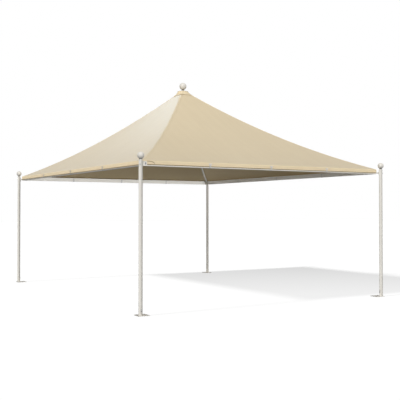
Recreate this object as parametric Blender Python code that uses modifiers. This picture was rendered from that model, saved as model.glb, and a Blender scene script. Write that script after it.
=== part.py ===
"""Rectangular gazebo with a hipped tent roof on four slim round posts.

A ring of box-section eave beams hangs between the posts on four corner brackets.  Four curved
hip tubes rise from its corners to a round hub, and one tensioned sheet lies over them, sewn from
four panels, turned down over the beams and tied to them with straps.  A fabric cap closes the
sheet's top, and a ball stands on every post and on the peak.

Metres, +Z up.  The origin is on the ground at the middle of the plan, +X along the short side
and +Y towards the back.
"""
import math

import bmesh
import bpy
import numpy as np
from mathutils import Matrix, Vector

# Plan and heights
POST_SPAN_X = 4.80          # between post axes, short side
POST_SPAN_Y = 6.00          # between post axes, long side
BEAM_TOP = 2.28
BEAM_HEIGHT = 0.08
BEAM_WIDTH = 0.04
FRAME_INSET = 0.05          # from the post axes in to the beams' outer faces
EAVE_Z = 2.284              # outer fold of the sheet over the beams
ROOF_RISE_STRAIGHT = 1.066  # the roof's rise is this times u plus the next times u squared,
ROOF_RISE_CURVED = 0.601    # where u is 0 at the eave and 1 at the middle
ROOF_BOW = 0.015            # how far a panel's middle stands above a straight line between hips

# Posts, feet and balls
POST_RADIUS = 0.030
POST_WALL = 0.0025
PLATE_SIZE = 0.18
PLATE_THICKNESS = 0.008
PLATE_OVERHANG = 0.045      # from the post's axis to the plate's two outer edges
POST_BALL_RADIUS = 0.0525
POST_BALL_Z = 2.35
POST_NECK_RADIUS = 0.019
PEAK_BALL_RADIUS = 0.070
PEAK_BALL_Z = 4.02
PEAK_STEM_RADIUS = 0.013
PEAK_NECK_RADIUS = 0.018
PEAK_COLLAR_RADIUS = 0.032
SPIGOT_LENGTH = 0.06

# Beams and corner brackets
BEAM_WALL = 0.002
BEAM_ROUNDING = 0.005
CORNER_ARM = 0.10           # of the corner piece along each beam, from the frame's corner
CORNER_CHAMFER = 0.020
CORNER_WEB = 0.028          # inner corner's web, along X
ARM_RADIUS = 0.010          # round bar from the corner piece to the post
ARM_Z = 2.221
SADDLE_SIZE = (0.005, 0.032, 0.070)
SADDLE_Z = 2.222

# Hips, hub and cap
HIP_RADIUS = 0.019
HIP_SIDES = 12
HIP_STATIONS = 15
HUB_RADIUS = 0.055
HUB_DISC_RADIUS = 0.090
HUB_DISC_THICKNESS = 0.006
HUB_BOTTOM = 3.775
CAP_TOP = 3.930
CAP_FLAT_RADIUS = 0.092
CAP_EDGE_RADIUS = 0.105
CAP_EDGE_DROP = 0.009
CAP_HOLE_RADIUS = 0.0145
CAP_NECK_SHARE = 0.045      # where the cap meets the sheet, as a share of the plan
CAP_HEM_SHARE = 0.054       # and where its hem ends, after lying on the sheet
CAP_CLEARANCE = 0.0012

# Sheet and straps
SHEET_THICKNESS = 0.003
SKIRT_BOTTOM = 2.233
SKIRT_CUT_BACK = 0.093      # bare beam left at both ends of the front and back sides
OPENING_SHARE = 0.035       # the sheet's hole under the cap, as a share of the plan
SHEET_ROWS = 12
SHEET_COLUMNS = 10          # along each panel, besides the two at the ends of a cut-back skirt
STRAP_WIDTH = 0.032
STRAP_THICKNESS = 0.002
STRAP_TOP = 2.272
STRAP_INNER_TOP = 2.262
STRAP_PLACES = (0.25, 0.50, 0.75)

GAP = 0.0003                # between neighbouring pieces
MERGE = 0.0001
ROUND_SIDES = 24

STEEL = ((0.78, 0.77, 0.74, 1.0), 0.42, 0.0)
SHEET = ((0.72, 0.61, 0.43, 1.0), 0.55, 0.0)
WEBBING = ((0.80, 0.78, 0.80, 1.0), 0.70, 0.0)

HALF_X = POST_SPAN_X / 2
HALF_Y = POST_SPAN_Y / 2
FRAME_X = HALF_X - FRAME_INSET
FRAME_Y = HALF_Y - FRAME_INSET
BEAM_BOTTOM = BEAM_TOP - BEAM_HEIGHT
SHEET_OUT = GAP + SHEET_THICKNESS
SHEET_X = FRAME_X + SHEET_OUT
SHEET_Y = FRAME_Y + SHEET_OUT
INNER_X = FRAME_X - BEAM_WIDTH
INNER_Y = FRAME_Y - BEAM_WIDTH

CORNERS = {
    "front_left": (-1, -1),
    "front_right": (1, -1),
    "back_right": (1, 1),
    "back_left": (-1, 1),
}
SIDES = {"front": 0.0, "right": math.pi / 2, "back": math.pi, "left": -math.pi / 2}
SKIRT_CUT_SIDES = ("front", "back")


def clear_scene():
    for obj in list(bpy.data.objects):
        bpy.data.objects.remove(obj, do_unlink=True)


def make_collection(name):
    collection = bpy.data.collections.new(name)
    bpy.context.scene.collection.children.link(collection)
    return collection


def make_material(name, finish):
    """Principled material of one colour, roughness and metallic value."""
    color, roughness, metallic = finish
    material = bpy.data.materials.new(name)
    material.use_nodes = True
    shader = material.node_tree.nodes["Principled BSDF"]
    shader.inputs["Base Color"].default_value = color
    shader.inputs["Roughness"].default_value = roughness
    shader.inputs["Metallic"].default_value = metallic
    material.diffuse_color = color
    return material


def object_from_bmesh(bm, name, collection):
    mesh = bpy.data.meshes.new(name)
    bm.to_mesh(mesh)
    bm.free()
    obj = bpy.data.objects.new(name, mesh)
    collection.objects.link(obj)
    return obj


def finish_piece(obj, finish, smooth_angle=None):
    """Give a piece its own material and, for round ones, smooth shading."""
    obj.data.materials.clear()
    obj.data.materials.append(make_material(obj.name + "_finish", finish))
    if smooth_angle is not None and obj.type == "MESH":
        obj.data.shade_smooth()
        obj.data.set_sharp_from_angle(angle=math.radians(smooth_angle))
    return obj


def evaluated_mesh_object(obj, name, collection):
    """The object as its modifiers or curve settings leave it, as a welded mesh in world space."""
    depsgraph = bpy.context.evaluated_depsgraph_get()
    mesh = bpy.data.meshes.new_from_object(obj.evaluated_get(depsgraph))
    mesh.transform(obj.matrix_world)
    bm = bmesh.new()
    bm.from_mesh(mesh)
    bmesh.ops.remove_doubles(bm, verts=bm.verts, dist=MERGE / 10)
    bm.to_mesh(mesh)
    bm.free()
    bpy.data.objects.remove(obj, do_unlink=True)
    mesh.name = name
    result = bpy.data.objects.new(name, mesh)
    collection.objects.link(result)
    return result


def box_bmesh(size, centre, rounding=0.0, axis=None):
    """A box; with a rounding, its edges along one axis are rounded."""
    bm = bmesh.new()
    bmesh.ops.create_cube(bm, size=1.0)
    bmesh.ops.scale(bm, vec=Vector(size), verts=bm.verts)
    if rounding:
        edges = [e for e in bm.edges
                 if abs((e.verts[0].co - e.verts[1].co).normalized()[axis]) > 0.99]
        bmesh.ops.bevel(bm, geom=edges, offset=rounding, segments=2, profile=0.5,
                        affect="EDGES")
    bmesh.ops.translate(bm, vec=Vector(centre), verts=bm.verts)
    return bm


def cylinder_bmesh(radius, start, end, sides=ROUND_SIDES):
    """A closed cylinder between two points."""
    start, end = Vector(start), Vector(end)
    bm = bmesh.new()
    bmesh.ops.create_cone(bm, cap_ends=True, segments=sides, radius1=radius, radius2=radius,
                          depth=(end - start).length)
    turn = (end - start).to_track_quat("Z", "Y").to_matrix().to_4x4()
    bmesh.ops.transform(bm, matrix=Matrix.Translation((start + end) / 2) @ turn, verts=bm.verts)
    return bm


def join_solids(base, others):
    """Boolean union of one object with others, which are removed afterwards."""
    name, collection = base.name, base.users_collection[0]
    for index, other in enumerate(others):
        modifier = base.modifiers.new(f"union_{index}", "BOOLEAN")
        modifier.operation = "UNION"
        modifier.object = other
    base.name = name + "_parts"
    result = evaluated_mesh_object(base, name, collection)
    for other in others:
        bpy.data.objects.remove(other, do_unlink=True)
    return result


def turned(profile, name, collection, place=(0, 0, 0)):
    """A profile of radius and height, given from the top down, turned about the Z axis."""
    mesh = bpy.data.meshes.new(name)
    points = [(radius, 0.0, height) for radius, height in profile]
    mesh.from_pydata(points, [(i, i + 1) for i in range(len(points) - 1)], [])
    obj = bpy.data.objects.new(name, mesh)
    collection.objects.link(obj)
    obj.location = place
    screw = obj.modifiers.new("turn", "SCREW")
    screw.steps = ROUND_SIDES
    screw.render_steps = ROUND_SIDES
    screw.use_merge_vertices = True
    screw.merge_threshold = MERGE
    screw.use_smooth_shade = True
    return obj


def ball_profile(radius, centre_z, neck_radius, arcs=9):
    """Points down the side of a ball, from its top to where the neck leaves it."""
    last = math.pi - math.asin(neck_radius / radius)
    angles = np.linspace(0.0, last, arcs + 1)
    return [(radius * math.sin(a), centre_z + radius * math.cos(a)) for a in angles]


def roof_height(u):
    """Height of the sheet's outer side at the hips, for u from 0 at the eave to 1 at the middle."""
    return EAVE_Z + ROOF_RISE_STRAIGHT * u + ROOF_RISE_CURVED * u * u


def roof_slope_x(u):
    """Slope of the two side panels, which is the steeper of the two kinds."""
    return (ROOF_RISE_STRAIGHT + 2 * ROOF_RISE_CURVED * u) / SHEET_X


def share_to_u(share):
    """The eave-to-middle value u for a share of the plan between the post axes."""
    return 1.0 - share * HALF_X / SHEET_X


def web_legs():
    """Legs of the corner piece's inner web, whose middle lies under the sheet's ridge."""
    middle_x = INNER_X - CORNER_WEB / 2
    middle_y = middle_x * SHEET_Y / SHEET_X
    return CORNER_WEB, 2 * (INNER_Y - middle_y)


def build_foot(corner, signs, collection):
    """Square base plate, with the post near its outer corner."""
    inward = PLATE_SIZE / 2 - PLATE_OVERHANG
    centre = (signs[0] * (HALF_X - inward), signs[1] * (HALF_Y - inward), PLATE_THICKNESS / 2)
    bm = box_bmesh((PLATE_SIZE, PLATE_SIZE, PLATE_THICKNESS), centre, rounding=0.008, axis=2)
    return finish_piece(object_from_bmesh(bm, "base_plate_" + corner, collection), STEEL)


def build_post(corner, signs, collection):
    """Round tube on the plate, open at both ends."""
    bottom = PLATE_THICKNESS + GAP
    bm = bmesh.new()
    bmesh.ops.create_cone(bm, cap_ends=False, segments=ROUND_SIDES, radius1=POST_RADIUS,
                          radius2=POST_RADIUS, depth=BEAM_TOP - bottom)
    obj = object_from_bmesh(bm, "post_" + corner, collection)
    obj.location = (signs[0] * HALF_X, signs[1] * HALF_Y, (BEAM_TOP + bottom) / 2)
    wall = obj.modifiers.new("wall", "SOLIDIFY")
    wall.thickness = POST_WALL
    wall.offset = -1.0
    wall.use_even_offset = True
    return finish_piece(obj, STEEL, smooth_angle=40)


def build_post_finial(corner, signs, collection):
    """Ball on a short neck, with a collar on the post's end and a spigot down inside it."""
    spigot = POST_RADIUS - POST_WALL - GAP
    collar_top = BEAM_TOP + GAP + 0.004
    profile = ball_profile(POST_BALL_RADIUS, POST_BALL_Z, POST_NECK_RADIUS)
    profile += [
        (POST_NECK_RADIUS, collar_top + 0.003),
        (POST_NECK_RADIUS + 0.003, collar_top),
        (POST_RADIUS, collar_top - 0.001),
        (POST_RADIUS, BEAM_TOP + GAP),
        (spigot, BEAM_TOP + GAP),
        (spigot, BEAM_TOP - SPIGOT_LENGTH),
        (0.0, BEAM_TOP - SPIGOT_LENGTH),
    ]
    place = (signs[0] * HALF_X, signs[1] * HALF_Y, 0)
    obj = turned(profile, "post_ball_" + corner, collection, place)
    return finish_piece(obj, STEEL)


def corner_outline(signs):
    """Plan of the corner piece: two arms, a chamfered outer corner and a web inside."""
    web_x, web_y = web_legs()
    points = [
        (CORNER_CHAMFER, 0.0),
        (CORNER_ARM, 0.0),
        (CORNER_ARM, BEAM_WIDTH),
        (BEAM_WIDTH + web_x, BEAM_WIDTH),
        (BEAM_WIDTH, BEAM_WIDTH + web_y),
        (BEAM_WIDTH, CORNER_ARM),
        (0.0, CORNER_ARM),
        (0.0, CORNER_CHAMFER),
    ]
    return [(signs[0] * (FRAME_X - a), signs[1] * (FRAME_Y - b)) for a, b in points]


def outline_solid(points, low, high, name, collection):
    """A flat outline raised from one height to another."""
    curve = bpy.data.curves.new(name, "CURVE")
    curve.dimensions = "2D"
    curve.fill_mode = "BOTH"
    curve.extrude = (high - low) / 2
    spline = curve.splines.new("POLY")
    spline.points.add(len(points) - 1)
    for point, (x, y) in zip(spline.points, points):
        point.co = (x, y, 0.0, 1.0)
    spline.use_cyclic_u = True
    obj = bpy.data.objects.new(name, curve)
    collection.objects.link(obj)
    obj.location.z = (low + high) / 2
    bpy.context.view_layer.update()
    return obj


def build_corner_bracket(corner, signs, collection):
    """Corner piece of the eave frame, with plugs into both beams and an arm out to the post."""
    name = "corner_bracket_" + corner
    outline = outline_solid(corner_outline(signs), BEAM_BOTTOM, BEAM_TOP, name + "_plan", collection)
    body = evaluated_mesh_object(outline, name, collection)

    plug_half = BEAM_WALL + GAP
    plug_width = BEAM_WIDTH - 2 * plug_half
    plug_height = BEAM_HEIGHT - 2 * plug_half
    overlap = 0.01
    plug = SPIGOT_LENGTH + overlap
    along = CORNER_ARM + (SPIGOT_LENGTH - overlap) / 2
    middle_z = (BEAM_TOP + BEAM_BOTTOM) / 2
    across = BEAM_WIDTH / 2
    plug_x = box_bmesh((plug, plug_width, plug_height),
                       (signs[0] * (FRAME_X - along), signs[1] * (FRAME_Y - across), middle_z),
                       rounding=0.003, axis=0)
    plug_y = box_bmesh((plug_width, plug, plug_height),
                       (signs[0] * (FRAME_X - across), signs[1] * (FRAME_Y - along), middle_z),
                       rounding=0.003, axis=1)

    diagonal = Vector((-signs[0], -signs[1], 0)).normalized()
    post = Vector((signs[0] * HALF_X, signs[1] * HALF_Y, ARM_Z))
    saddle_start = POST_RADIUS + GAP
    chamfer_distance = (FRAME_INSET + CORNER_CHAMFER / 2) * math.sqrt(2)
    arm = cylinder_bmesh(ARM_RADIUS, post + diagonal * (saddle_start + 0.001),
                         post + diagonal * (chamfer_distance + 0.01), sides=16)
    saddle = box_bmesh(SADDLE_SIZE, (0, 0, 0))
    turn = Matrix.Rotation(math.atan2(diagonal.y, diagonal.x), 4, "Z")
    place = Matrix.Translation(Vector((post.x, post.y, SADDLE_Z))
                               + diagonal * (saddle_start + SADDLE_SIZE[0] / 2))
    bmesh.ops.transform(saddle, matrix=place @ turn, verts=saddle.verts)

    extras = [object_from_bmesh(bm, f"{name}_{index}", collection)
              for index, bm in enumerate((plug_x, plug_y, arm, saddle))]
    bracket = join_solids(body, extras)
    return finish_piece(bracket, STEEL, smooth_angle=35)


def build_beam(name, along_x, sign, collection):
    """Box-section beam between two corner pieces, open at both ends."""
    frame_half = FRAME_X if along_x else FRAME_Y
    length = 2 * (frame_half - CORNER_ARM - GAP)
    side = sign * ((FRAME_Y if along_x else FRAME_X) - BEAM_WIDTH / 2)
    centre_z = (BEAM_TOP + BEAM_BOTTOM) / 2
    axis = 0 if along_x else 1
    size = (length, BEAM_WIDTH, BEAM_HEIGHT) if along_x else (BEAM_WIDTH, length, BEAM_HEIGHT)
    centre = (0, side, centre_z) if along_x else (side, 0, centre_z)
    bm = box_bmesh(size, centre, rounding=BEAM_ROUNDING, axis=axis)
    ends = [face for face in bm.faces if abs(face.normal[axis]) > 0.99]
    bmesh.ops.delete(bm, geom=ends, context="FACES_ONLY")
    obj = object_from_bmesh(bm, name, collection)
    wall = obj.modifiers.new("wall", "SOLIDIFY")
    wall.thickness = BEAM_WALL
    wall.offset = -1.0
    wall.use_even_offset = True
    return finish_piece(obj, STEEL, smooth_angle=50)


def cut_flat(obj, point, normal):
    """Cut a closed mesh with a plane, drop the side that the normal points to, and close it."""
    bm = bmesh.new()
    bm.from_mesh(obj.data)
    geometry = list(bm.verts) + list(bm.edges) + list(bm.faces)
    cut = bmesh.ops.bisect_plane(bm, geom=geometry, plane_co=point, plane_no=normal,
                                 clear_outer=True)
    rim = [item for item in cut["geom_cut"] if isinstance(item, bmesh.types.BMEdge)]
    bmesh.ops.contextual_create(bm, geom=rim)
    bm.to_mesh(obj.data)
    bm.free()


def build_hip(corner, signs, collection):
    """Curved tube under the ridge of the sheet, from the corner's web up to the hub."""
    outermost = Vector((signs[0] * SHEET_X, signs[1] * SHEET_Y, 0))
    clearance = HIP_RADIUS + SHEET_THICKNESS + 2 * GAP
    curve = bpy.data.curves.new("hip_" + corner, "CURVE")
    curve.dimensions = "3D"
    curve.bevel_depth = HIP_RADIUS
    curve.bevel_resolution = HIP_SIDES // 2 - 2
    curve.use_fill_caps = True
    spline = curve.splines.new("POLY")
    spline.points.add(HIP_STATIONS - 1)
    for point, u in zip(spline.points, np.linspace(0.0, 0.995, HIP_STATIONS)):
        drop = clearance * math.hypot(1.0, roof_slope_x(u))
        place = outermost * (1.0 - u)
        point.co = (place.x, place.y, roof_height(u) - drop, 1.0)
    guide = bpy.data.objects.new("hip_guide", curve)
    collection.objects.link(guide)
    bpy.context.view_layer.update()
    hip = evaluated_mesh_object(guide, "hip_rafter_" + corner, collection)

    web_x, web_y = web_legs()
    web_corner = Vector((signs[0] * (INNER_X - web_x), signs[1] * INNER_Y, 0))
    web_normal = Vector((signs[0] * web_y, signs[1] * web_x, 0)).normalized()
    inward = -outermost.normalized()
    cut_flat(hip, web_corner - web_normal * GAP, web_normal)
    cut_flat(hip, -inward * (HUB_RADIUS + GAP), inward)
    return finish_piece(hip, STEEL, smooth_angle=40)


def build_hub(collection):
    """Turned steel hub: a disc that spreads the cap, and a barrel that the hips are welded to."""
    disc_top = CAP_TOP - SHEET_THICKNESS - GAP
    disc_bottom = disc_top - HUB_DISC_THICKNESS
    rounding = 0.002
    profile = [
        (0.0, disc_top),
        (HUB_DISC_RADIUS - rounding, disc_top),
        (HUB_DISC_RADIUS, disc_top - rounding),
        (HUB_DISC_RADIUS, disc_bottom + rounding),
        (HUB_DISC_RADIUS - rounding, disc_bottom),
        (HUB_RADIUS, disc_bottom),
        (HUB_RADIUS, HUB_BOTTOM + 0.008),
        (HUB_RADIUS - 0.008, HUB_BOTTOM),
        (0.0, HUB_BOTTOM),
    ]
    return finish_piece(turned(profile, "crown_hub", collection), STEEL)


def build_peak_ball(collection):
    """Ball, neck and collar on top of the cap, with a stem through it down to the hub."""
    stem_bottom = CAP_TOP - SHEET_THICKNESS
    collar_bottom = CAP_TOP + GAP
    profile = ball_profile(PEAK_BALL_RADIUS, PEAK_BALL_Z, PEAK_NECK_RADIUS, arcs=10)
    profile += [
        (PEAK_NECK_RADIUS, collar_bottom + 0.008),
        (PEAK_COLLAR_RADIUS - 0.003, collar_bottom + 0.006),
        (PEAK_COLLAR_RADIUS, collar_bottom + 0.003),
        (PEAK_COLLAR_RADIUS, collar_bottom),
        (PEAK_STEM_RADIUS, collar_bottom),
        (PEAK_STEM_RADIUS, stem_bottom),
        (0.0, stem_bottom),
    ]
    return finish_piece(turned(profile, "peak_ball", collection), STEEL)


def build_crown_cap(collection):
    """Fabric hood that goes from a round flat top to a hem lying square on the sheet."""
    around = 32
    angles = np.arange(around) * 2 * math.pi / around
    circle = np.stack([np.cos(angles), np.sin(angles)], axis=1)
    square = circle / np.abs(circle).max(axis=1, keepdims=True)
    rectangle = square * np.array([HALF_X, HALF_Y])
    lift = (SHEET_THICKNESS + CAP_CLEARANCE) * math.hypot(1.0, roof_slope_x(1.0))
    neck = rectangle * CAP_NECK_SHARE
    neck_z = roof_height(share_to_u(CAP_NECK_SHARE)) + lift
    hem = rectangle * CAP_HEM_SHARE
    hem_z = roof_height(share_to_u(CAP_HEM_SHARE)) + lift
    edge = circle * CAP_EDGE_RADIUS
    edge_z = CAP_TOP - CAP_EDGE_DROP
    rings = [
        (circle * CAP_HOLE_RADIUS, CAP_TOP),
        (circle * CAP_FLAT_RADIUS, CAP_TOP),
        (edge, edge_z),
        (edge * 0.5 + neck * 0.5, edge_z * 0.5 + neck_z * 0.5),
        (neck, neck_z),
        (hem, hem_z),
    ]
    verts = [(x, y, z) for plan, z in rings for x, y in plan]
    faces = []
    for ring in range(len(rings) - 1):
        for k in range(around):
            nxt = (k + 1) % around
            upper, lower = ring * around, (ring + 1) * around
            faces.append((lower + k, lower + nxt, upper + nxt, upper + k))
    mesh = bpy.data.meshes.new("crown_cap")
    mesh.from_pydata(verts, [], faces)
    obj = bpy.data.objects.new("crown_cap", mesh)
    collection.objects.link(obj)
    cloth = obj.modifiers.new("thickness", "SOLIDIFY")
    cloth.thickness = SHEET_THICKNESS
    cloth.offset = -1.0
    cloth.use_even_offset = True
    return finish_piece(obj, SHEET, smooth_angle=30)


def panel_layer(half_along, half_out, u_rows, sink):
    """One face of a roof panel, row by row from its skirt's bottom to the crown.

    Along is the panel's eave and out points away from the middle.  sink 0 gives the outer face,
    and 1 the inner face, one sheet thickness further in.
    """
    cut = SKIRT_CUT_BACK / half_along
    across = np.concatenate([[-1.0], np.linspace(cut - 1.0, 1.0 - cut, SHEET_COLUMNS + 1), [1.0]])
    seam_gap = GAP / 2 * math.hypot(half_along, half_out) / half_out
    eave_u = sink * SHEET_THICKNESS / half_out
    rows = np.append(eave_u, u_rows[1:])
    points = []
    for u in np.append(eave_u, rows):
        along = np.clip(across * half_along * (1.0 - u), seam_gap - half_along * (1.0 - u),
                        half_along * (1.0 - u) - seam_gap)
        slope = (ROOF_RISE_STRAIGHT + 2 * ROOF_RISE_CURVED * u) / half_out
        bow = ROOF_BOW * (1.0 - across ** 2) * (4 * u * (1.0 - u)) ** 2
        height = roof_height(u) + bow - sink * SHEET_THICKNESS * math.hypot(1.0, slope)
        out = np.full_like(along, half_out * (1.0 - u))
        points.append(np.stack([along, out, height], axis=1))
    points[0][:, 2] = SKIRT_BOTTOM
    return np.array(points)


def closed_shell(name, outer, inner, faces, collection):
    """Solid between two layers of points with the same faces, closed along their open rim."""
    count = len(outer)
    directed = {(face[k], face[(k + 1) % 4]) for face in faces for k in range(4)}
    rim = [(b, a, count + a, count + b) for a, b in sorted(directed) if (b, a) not in directed]
    lining = [tuple(count + v for v in reversed(face)) for face in faces]
    mesh = bpy.data.meshes.new(name)
    mesh.from_pydata([tuple(p) for p in np.concatenate([outer, inner])], [], faces + lining + rim)
    bm = bmesh.new()
    bm.from_mesh(mesh)
    bmesh.ops.delete(bm, geom=[v for v in bm.verts if not v.link_faces], context="VERTS")
    bm.to_mesh(mesh)
    bm.free()
    obj = bpy.data.objects.new(name, mesh)
    collection.objects.link(obj)
    return obj


def build_roof_panel(side, turn, cut_back, collection):
    """One of the sheet's four sewn panels, with its length of skirt turned down over the beam."""
    half_along, half_out = (SHEET_X, SHEET_Y) if side in ("front", "back") else (SHEET_Y, SHEET_X)
    u_rows = np.linspace(0.0, share_to_u(CAP_HEM_SHARE), SHEET_ROWS)
    u_rows = np.append(u_rows, share_to_u(OPENING_SHARE))
    layers = []
    for sink in (0, 1):
        layer = panel_layer(half_along, half_out, u_rows, sink)
        along, out, height = layer[..., 0], layer[..., 1], layer[..., 2]
        x = along * math.cos(turn) + out * math.sin(turn)
        y = along * math.sin(turn) - out * math.cos(turn)
        layers.append(np.stack([x, y, height], axis=-1))
    rows, columns = layers[0].shape[:2]
    faces = []
    for row in range(rows - 1):
        for k in range(columns - 1):
            if row == 0 and cut_back and k in (0, columns - 2):
                continue
            low, high = row * columns + k, (row + 1) * columns + k
            faces.append((low, low + 1, high + 1, high))
    outer, inner = (layer.reshape(-1, 3) for layer in layers)
    panel = closed_shell("canopy_panel_" + side, outer, inner, faces, collection)
    return finish_piece(panel, SHEET, smooth_angle=20)


def strap_outline():
    """Section of a tie strap: down the skirt, in to the beam, under it and up its inner face."""
    on_skirt = -(SHEET_OUT + GAP)
    on_beam = -GAP
    inner = BEAM_WIDTH + GAP
    under = BEAM_BOTTOM - GAP
    bend = SKIRT_BOTTOM - 0.003
    return [
        (on_skirt - STRAP_THICKNESS, STRAP_TOP),
        (on_skirt - STRAP_THICKNESS, bend + 0.001),
        (on_beam - STRAP_THICKNESS, bend - 0.007),
        (on_beam - STRAP_THICKNESS, under - STRAP_THICKNESS),
        (inner + STRAP_THICKNESS, under - STRAP_THICKNESS),
        (inner + STRAP_THICKNESS, STRAP_INNER_TOP),
        (inner, STRAP_INNER_TOP),
        (inner, under),
        (on_beam, under),
        (on_beam, bend - 0.0075),
        (on_skirt, bend),
        (on_skirt, STRAP_TOP),
    ]


def build_strap(name, side_turn, frame_half, along, collection):
    """Webbing strap that ties the sheet down to a beam, placed along one side of the frame."""
    outline = strap_outline()
    strap = outline_solid(outline, -STRAP_WIDTH / 2, STRAP_WIDTH / 2, name + "_outline", collection)
    # The outline's X goes inward from the beam's outer face, its Y goes up
    stand = Matrix(((0, 0, 1, 0), (1, 0, 0, 0), (0, 1, 0, 0), (0, 0, 0, 1)))
    place = Matrix.Translation((along, -frame_half, 0))
    strap.matrix_world = Matrix.Rotation(side_turn, 4, "Z") @ place @ stand
    bpy.context.view_layer.update()
    piece = evaluated_mesh_object(strap, name, collection)
    return finish_piece(piece, WEBBING)


def build_straps(side, turn, collection):
    """The straps of one side, at even steps along it."""
    frame_half, half_length = (FRAME_Y, SHEET_X) if side in ("front", "back") else (FRAME_X, SHEET_Y)
    for number, place in enumerate(STRAP_PLACES, start=1):
        along = (2 * place - 1) * half_length
        build_strap(f"tie_strap_{side}_{number}", turn, frame_half, along, collection)


def main():
    clear_scene()
    gazebo = make_collection("gazebo")
    for corner, signs in CORNERS.items():
        build_foot(corner, signs, gazebo)
        build_post(corner, signs, gazebo)
        build_post_finial(corner, signs, gazebo)
        build_corner_bracket(corner, signs, gazebo)
        build_hip(corner, signs, gazebo)
    build_beam("eave_beam_front", True, -1, gazebo)
    build_beam("eave_beam_back", True, 1, gazebo)
    build_beam("eave_beam_left", False, -1, gazebo)
    build_beam("eave_beam_right", False, 1, gazebo)
    build_hub(gazebo)
    build_crown_cap(gazebo)
    build_peak_ball(gazebo)
    for side, turn in SIDES.items():
        build_roof_panel(side, turn, side in SKIRT_CUT_SIDES, gazebo)
        build_straps(side, turn, gazebo)


main()
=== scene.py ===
"""Looks of a rectangular gazebo: round steel posts, a box-section eave frame, curved hip tubes
and a tensioned cloth roof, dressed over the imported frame.

Metres, +Z up.  The origin is on the ground at the middle of the plan, +X along the short side.
"""
import math

import bmesh
import bpy
import numpy as np
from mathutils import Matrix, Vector


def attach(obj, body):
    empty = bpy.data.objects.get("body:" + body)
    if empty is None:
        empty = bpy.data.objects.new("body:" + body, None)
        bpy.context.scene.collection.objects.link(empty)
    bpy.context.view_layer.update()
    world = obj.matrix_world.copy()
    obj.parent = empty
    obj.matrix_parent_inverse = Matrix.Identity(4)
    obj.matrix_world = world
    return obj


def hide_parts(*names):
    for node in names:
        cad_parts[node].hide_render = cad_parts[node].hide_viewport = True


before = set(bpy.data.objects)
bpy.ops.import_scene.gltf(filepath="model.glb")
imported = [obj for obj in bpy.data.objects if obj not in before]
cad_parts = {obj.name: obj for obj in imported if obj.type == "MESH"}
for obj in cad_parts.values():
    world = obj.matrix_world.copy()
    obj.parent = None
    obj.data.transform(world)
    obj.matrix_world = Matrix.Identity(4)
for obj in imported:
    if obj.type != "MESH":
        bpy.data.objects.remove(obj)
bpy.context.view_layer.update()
scene = bpy.context.scene


# Studio: a white floor that runs into a white backdrop, and soft light.  A broad soft light stands in
# front, a level one on the left lights the cloth, and a softbox behind gives it its sheen.  The
# posts, balls, far beams and floor have lamps of their own; the floor's one is high on the left.
CAMERA_PLACE = (-7.064, -12.528, 1.524)
CAMERA_TURN = (90.922, 0.0, -30.774)
CAMERA_LENS = 65.09
FLOOR_HALF = 80.0
FLOOR_LEVEL = -0.0005
PAPER_DEPTH = (-1.0, 5.1)       # near and far, along the camera's direction from the origin
# Painted shade: the floor's tone and the glow the camera sees change with depth, so that the floor
# lamp's shadow fades lighter towards the camera.
PAPER_TONE_SHADOW_FADE = (0.024, 0.052)     # near and far
PAPER_GLOW_SHADOW_FADE = (0.865, 0.685)     # near and far, as the camera sees it
# Painted bounce light: the floor glows evenly for the pieces, in place of light thrown back up onto the
# undersides.
UNSEEN_BOUNCE_GLOW = 0.06              # as the pieces get it
SKY_COLOUR = (1.0, 0.985, 0.96, 1.0)
SKY_LIGHT = 0.46


def fill_in(node, inputs):
    """Give a node its inputs: one that is given as a socket is linked, any other is set."""
    for name, value in inputs.items():
        if isinstance(value, bpy.types.NodeSocket):
            node.id_data.links.new(value, node.inputs[name])
        else:
            node.inputs[name].default_value = value


def add_node(tree, kind, inputs=None, **settings):
    """The outputs of a new shader node with these inputs and settings."""
    node = tree.nodes.new(kind)
    for name, value in settings.items():
        setattr(node, name, value)
    fill_in(node, inputs or {})
    return node.outputs


def ranged(value, low, high, start=0.0, end=1.0):
    """A value that goes from low to high while the given one goes from start to end."""
    return add_node(value.id_data, "ShaderNodeMapRange", {
        "Value": value, "From Min": start, "From Max": end, "To Min": low, "To Max": high})[0]


def add_sun(name, toward, strength, spread, group, colour=(1.0, 1.0, 1.0), shaded_by=None):
    """A lamp at infinity that shines on a group from a disc as wide as the spread."""
    lamp = bpy.data.objects.new(name, bpy.data.lights.new(name, "SUN"))
    lamp.data.energy = strength
    lamp.data.angle = math.radians(spread)
    lamp.data.color = colour
    lamp.rotation_mode = "QUATERNION"
    lamp.rotation_quaternion = Vector(toward).to_track_quat("Z", "Y")
    lamp.light_linking.receiver_collection = lit[group]
    lamp.light_linking.blocker_collection = lit.get(shaded_by)
    scene.collection.objects.link(lamp)


def light_apart(piece, group):
    """Give a piece to its own group's lamps, and keep those for all the rest off it."""
    lit[group].objects.link(piece)
    lit["all_the_rest"].objects.link(piece)
    lit["all_the_rest"].collection_objects[-1].light_linking.link_state = "EXCLUDE"


camera = bpy.data.objects.new("camera", bpy.data.cameras.new("camera"))
camera.data.lens = CAMERA_LENS
camera.data.sensor_width = 36.0
camera.data.clip_end = 300.0
camera.location = CAMERA_PLACE
camera.rotation_euler = [math.radians(angle) for angle in CAMERA_TURN]
scene.collection.objects.link(camera)
scene.camera = camera
scene.view_settings.view_transform = "Standard"

floor_mesh = bpy.data.meshes.new("floor")
floor_mesh.from_pydata([(x * FLOOR_HALF, y * FLOOR_HALF, FLOOR_LEVEL)
                        for x, y in ((-1, -1), (1, -1), (1, 1), (-1, 1))], [], [(0, 1, 2, 3)])
floor = bpy.data.objects.new("floor", floor_mesh)
scene.collection.objects.link(floor)

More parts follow.
